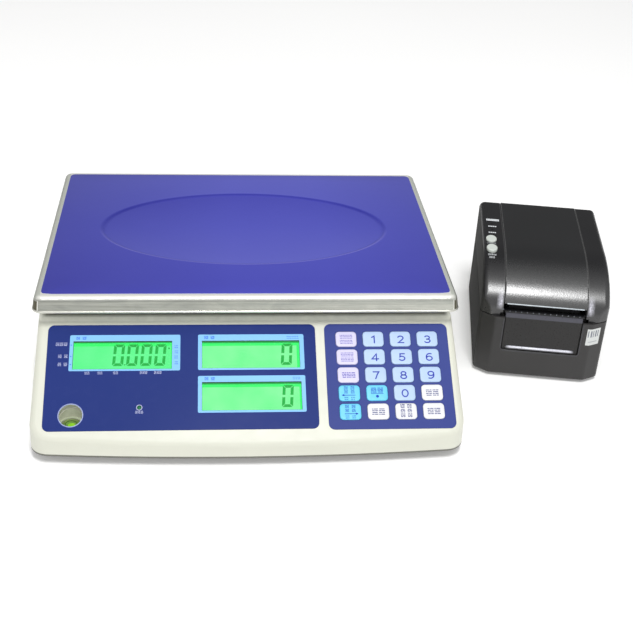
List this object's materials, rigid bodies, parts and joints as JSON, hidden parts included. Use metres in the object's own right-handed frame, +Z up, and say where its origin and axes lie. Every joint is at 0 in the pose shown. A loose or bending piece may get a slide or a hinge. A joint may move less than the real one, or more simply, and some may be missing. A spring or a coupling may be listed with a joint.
{
  "type": "label printing scale",
  "caption": "Table counting scale with a steel weighing pan, green display windows and a keypad on a sloping panel, with its separate label printer beside it.",
  "frame": {"origin": "middle of the footprint of the whole set, scale and printer side by side, on the table", "axes": "+X to the right of the person at the keys, along the set's longest side; +Y away from that person; +Z up"},
  "size_m": [0.502, 0.3256, 0.1035],
  "materials": {
    "housing_abs": "fine moulded ivory white, satin",
    "base_abs": "moulded ivory white",
    "zinc_steel": "zinc plated",
    "painted_steel": "grey powder coat",
    "cell_aluminium": "milled",
    "cast_aluminium": "as cast",
    "rubber_black": "matte",
    "pan_steel": "brushed along the edges",
    "film_violet": "soft sheen film",
    "overlay_blue": "polycarbonate sheet",
    "overlay_violet": "polycarbonate sheet",
    "lcd_green": "backlit",
    "pcb_green": "solder mask",
    "led_green": "clear epoxy",
    "vial_acrylic": "clear acrylic with green fluid",
    "battery_abs": "moulded black",
    "port_black": "moulded black",
    "key_blue": "soft touch",
    "key_lavender": "soft touch",
    "key_cyan": "soft touch",
    "key_white": "soft touch",
    "printer_black": "finely textured satin black",
    "printer_dark": "glossy black",
    "button_grey": "silicone",
    "steel_bare": "bright",
    "head_ceramic": "glazed",
    "gear_white": "acetal",
    "label_paper": "smooth thermal paper"
  },
  "bodies": {
    "scale": {"top_housing": "housing_abs", "base_tray": "base_abs", "machine_screws": "zinc_steel", "chassis_plate": "painted_steel", "load_cell": "cell_aluminium", "display_overlay": "overlay_blue", "keypad_overlay": "overlay_violet", "keypad_board": "pcb_green", "lcd_modules": "lcd_green", "charge_led": "led_green", "level_vial": "vial_acrylic", "main_board": "pcb_green", "battery": "battery_abs", "power_inlet": "port_black", "data_port": "steel_bare"},
    "load_platform": {"pan_spider": "cast_aluminium", "pan_cushions": "rubber_black"},
    "pan": {"weighing_pan": "pan_steel", "pan_film": "film_violet"},
    "printer": {"printer_base": "printer_black", "printer_hood": "printer_black", "front_cover": "printer_dark", "tear_bar": "steel_bare", "lid_hinge_pin": "steel_bare", "stepper_motor": "zinc_steel", "printer_board": "pcb_green", "printer_feet": "rubber_black"},
    "lid": {"printer_lid": "printer_black", "print_head": "head_ceramic"},
    "platen": {"platen_roller": "rubber_black", "platen_gear": "gear_white"},
    "pinion": {"motor_pinion": "gear_white"},
    "roll": {"label_roll": "label_paper"},
    "feed_key": {"feed_button": "button_grey"},
    "pause_key": {"pause_button": "button_grey"},
    "rocker": {"power_rocker": "port_black"},
    "foot_front_left": {"foot_front_left": "rubber_black"},
    "foot_front_right": {"foot_front_right": "rubber_black"},
    "foot_rear_left": {"foot_rear_left": "rubber_black"},
    "foot_rear_right": {"foot_rear_right": "rubber_black"},
    "key_r1c1": {"key_r1c1": "key_lavender"},
    "key_r1c2": {"key_r1c2": "key_blue"},
    "key_r1c3": {"key_r1c3": "key_blue"},
    "key_r1c4": {"key_r1c4": "key_blue"},
    "key_r2c1": {"key_r2c1": "key_lavender"},
    "key_r2c2": {"key_r2c2": "key_blue"},
    "key_r2c3": {"key_r2c3": "key_blue"},
    "key_r2c4": {"key_r2c4": "key_blue"},
    "key_r3c1": {"key_r3c1": "key_lavender"},
    "key_r3c2": {"key_r3c2": "key_blue"},
    "key_r3c3": {"key_r3c3": "key_blue"},
    "key_r3c4": {"key_r3c4": "key_blue"},
    "key_r4c1": {"key_r4c1": "key_cyan"},
    "key_r4c2": {"key_r4c2": "key_cyan"},
    "key_r4c3": {"key_r4c3": "key_blue"},
    "key_r4c4": {"key_r4c4": "key_white"},
    "key_r5c1": {"key_r5c1": "key_cyan"},
    "key_r5c2": {"key_r5c2": "key_white"},
    "key_r5c3": {"key_r5c3": "key_white"},
    "key_r5c4": {"key_r5c4": "key_white"}
  },
  "joints": [
    {"name": "platform_press", "type": "slide", "parent": "scale", "child": "load_platform", "axis": [0, 0, 1], "range_m": [-0.0006, 0], "stiffness_N_per_m": 400000, "deforming": ["load_cell"]},
    {"name": "pan_lift", "type": "slide", "parent": "load_platform", "child": "pan", "axis": [0, 0, 1], "range_m": [0, 0.06]},
    {"name": "printer_move", "type": "slide", "parent": "scale", "child": "printer", "axis": [1, 0, 0], "range_m": [0, 0.1]},
    {"name": "lid_open", "type": "hinge", "parent": "printer", "child": "lid", "pos_m": [0.1969, 0.09585, 0.088], "axis": [-0.9848, 0.1736, 0], "range_deg": [0, 100]},
    {"name": "platen_turn", "type": "hinge", "parent": "printer", "child": "platen", "pos_m": [0.17442, -0.03168, 0.057], "axis": [0.9848, -0.1736, 0], "continuous": true},
    {"name": "pinion_turn", "type": "hinge", "parent": "printer", "child": "pinion", "pos_m": [0.21546, -0.02928, 0.04727], "axis": [0.9848, -0.1736, 0], "continuous": true},
    {"name": "roll_turn", "type": "hinge", "parent": "printer", "child": "roll", "pos_m": [0.18822, 0.04661, 0.05], "axis": [0.9848, -0.1736, 0], "continuous": true},
    {"name": "feed_press", "type": "slide", "parent": "printer", "child": "feed_key", "axis": [0, 0, -1], "range_m": [0, 0.001], "stiffness_N_per_m": 1500},
    {"name": "pause_press", "type": "slide", "parent": "printer", "child": "pause_key", "axis": [0, 0, -1], "range_m": [0, 0.001], "stiffness_N_per_m": 1500},
    {"name": "rocker_tip", "type": "hinge", "parent": "scale", "child": "rocker", "pos_m": [-0.16503, 0.15275, 0.036], "axis": [1, 0, 0], "range_deg": [-16, 0]},
    {"name": "foot_turn_front_left", "type": "hinge", "parent": "scale", "child": "foot_front_left", "pos_m": [-0.21903, -0.11775, 0.01], "axis": [0, 0, 1], "continuous": true},
    {"name": "foot_turn_front_right", "type": "hinge", "parent": "scale", "child": "foot_front_right", "pos_m": [0.05697, -0.11775, 0.01], "axis": [0, 0, 1], "continuous": true},
    {"name": "foot_turn_rear_left", "type": "hinge", "parent": "scale", "child": "foot_rear_left", "pos_m": [-0.21903, 0.12825, 0.01], "axis": [0, 0, 1], "continuous": true},
    {"name": "foot_turn_rear_right", "type": "hinge", "parent": "scale", "child": "foot_rear_right", "pos_m": [0.05697, 0.12825, 0.01], "axis": [0, 0, 1], "continuous": true},
    {"name": "key_r1c1_press", "type": "slide", "parent": "scale", "child": "key_r1c1", "axis": [0, 0.5373, -0.8434], "range_m": [0, 0.0005], "stiffness_N_per_m": 4000},
    {"name": "key_r1c2_press", "type": "slide", "parent": "scale", "child": "key_r1c2", "axis": [0, 0.5373, -0.8434], "range_m": [0, 0.0005], "stiffness_N_per_m": 4000},
    {"name": "key_r1c3_press", "type": "slide", "parent": "scale", "child": "key_r1c3", "axis": [0, 0.5373, -0.8434], "range_m": [0, 0.0005], "stiffness_N_per_m": 4000},
    {"name": "key_r1c4_press", "type": "slide", "parent": "scale", "child": "key_r1c4", "axis": [0, 0.5373, -0.8434], "range_m": [0, 0.0005], "stiffness_N_per_m": 4000},
    {"name": "key_r2c1_press", "type": "slide", "parent": "scale", "child": "key_r2c1", "axis": [0, 0.5373, -0.8434], "range_m": [0, 0.0005], "stiffness_N_per_m": 4000},
    {"name": "key_r2c2_press", "type": "slide", "parent": "scale", "child": "key_r2c2", "axis": [0, 0.5373, -0.8434], "range_m": [0, 0.0005], "stiffness_N_per_m": 4000},
    {"name": "key_r2c3_press", "type": "slide", "parent": "scale", "child": "key_r2c3", "axis": [0, 0.5373, -0.8434], "range_m": [0, 0.0005], "stiffness_N_per_m": 4000},
    {"name": "key_r2c4_press", "type": "slide", "parent": "scale", "child": "key_r2c4", "axis": [0, 0.5373, -0.8434], "range_m": [0, 0.0005], "stiffness_N_per_m": 4000},
    {"name": "key_r3c1_press", "type": "slide", "parent": "scale", "child": "key_r3c1", "axis": [0, 0.5373, -0.8434], "range_m": [0, 0.0005], "stiffness_N_per_m": 4000},
    {"name": "key_r3c2_press", "type": "slide", "parent": "scale", "child": "key_r3c2", "axis": [0, 0.5373, -0.8434], "range_m": [0, 0.0005], "stiffness_N_per_m": 4000},
    {"name": "key_r3c3_press", "type": "slide", "parent": "scale", "child": "key_r3c3", "axis": [0, 0.5373, -0.8434], "range_m": [0, 0.0005], "stiffness_N_per_m": 4000},
    {"name": "key_r3c4_press", "type": "slide", "parent": "scale", "child": "key_r3c4", "axis": [0, 0.5373, -0.8434], "range_m": [0, 0.0005], "stiffness_N_per_m": 4000},
    {"name": "key_r4c1_press", "type": "slide", "parent": "scale", "child": "key_r4c1", "axis": [0, 0.5373, -0.8434], "range_m": [0, 0.0005], "stiffness_N_per_m": 4000},
    {"name": "key_r4c2_press", "type": "slide", "parent": "scale", "child": "key_r4c2", "axis": [0, 0.5373, -0.8434], "range_m": [0, 0.0005], "stiffness_N_per_m": 4000},
    {"name": "key_r4c3_press", "type": "slide", "parent": "scale", "child": "key_r4c3", "axis": [0, 0.5373, -0.8434], "range_m": [0, 0.0005], "stiffness_N_per_m": 4000},
    {"name": "key_r4c4_press", "type": "slide", "parent": "scale", "child": "key_r4c4", "axis": [0, 0.5373, -0.8434], "range_m": [0, 0.0005], "stiffness_N_per_m": 4000},
    {"name": "key_r5c1_press", "type": "slide", "parent": "scale", "child": "key_r5c1", "axis": [0, 0.5373, -0.8434], "range_m": [0, 0.0005], "stiffness_N_per_m": 4000},
    {"name": "key_r5c2_press", "type": "slide", "parent": "scale", "child": "key_r5c2", "axis": [0, 0.5373, -0.8434], "range_m": [0, 0.0005], "stiffness_N_per_m": 4000},
    {"name": "key_r5c3_press", "type": "slide", "parent": "scale", "child": "key_r5c3", "axis": [0, 0.5373, -0.8434], "range_m": [0, 0.0005], "stiffness_N_per_m": 4000},
    {"name": "key_r5c4_press", "type": "slide", "parent": "scale", "child": "key_r5c4", "axis": [0, 0.5373, -0.8434], "range_m": [0, 0.0005], "stiffness_N_per_m": 4000}
  ],
  "couplings": [
    {"joint": "pinion_turn", "follows": "platen_turn", "ratio": -2}
  ]
}
